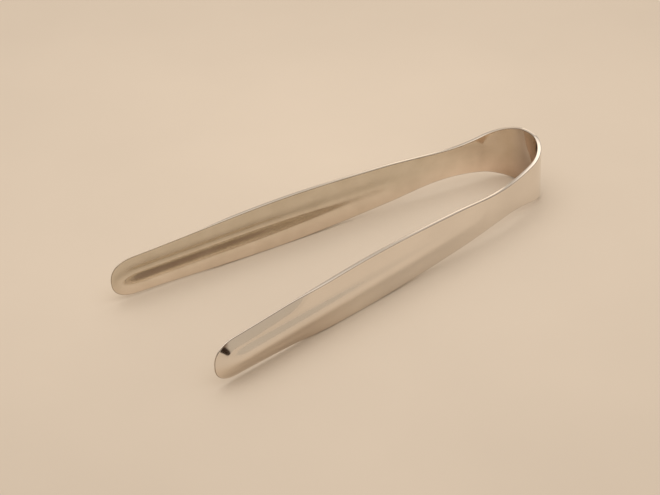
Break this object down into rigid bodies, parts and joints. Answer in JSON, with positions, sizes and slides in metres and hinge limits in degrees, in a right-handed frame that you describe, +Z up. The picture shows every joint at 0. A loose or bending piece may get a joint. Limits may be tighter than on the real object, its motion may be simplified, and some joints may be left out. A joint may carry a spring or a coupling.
{
  "type": "sugar tongs",
  "caption": "Sugar tongs of polished steel strip: a springy bow carries a pair of long fluted arms with round spoon-like tips that close to grip a lump of sugar.",
  "frame": {"origin": "under the middle of the tongs' box, on the surface that they lie on", "axes": "+X along the middle line towards the back of the bow, +Y towards the left arm, +Z up"},
  "size_m": [0.11, 0.0452, 0.015],
  "materials": {
    "polished_steel": "polished"
  },
  "bodies": {
    "bow": {"bow": "polished_steel"},
    "left_arm": {"left_arm": "polished_steel"},
    "right_arm": {"right_arm": "polished_steel"}
  },
  "joints": [
    {"name": "left_flex", "type": "hinge", "parent": "bow", "child": "left_arm", "pos_m": [0.03693, 0.01132, 0.00722], "axis": [-0.0162, 0, 0.9999], "range_deg": [-2, 12.8], "stiffness_Nm_per_rad": 3.5},
    {"name": "right_flex", "type": "hinge", "parent": "bow", "child": "right_arm", "pos_m": [0.03693, -0.01132, 0.00722], "axis": [-0.0162, 0, 0.9999], "range_deg": [-12.8, 2], "stiffness_Nm_per_rad": 3.5}
  ],
  "couplings": [
    {"joint": "right_flex", "follows": "left_flex", "ratio": -1}
  ]
}
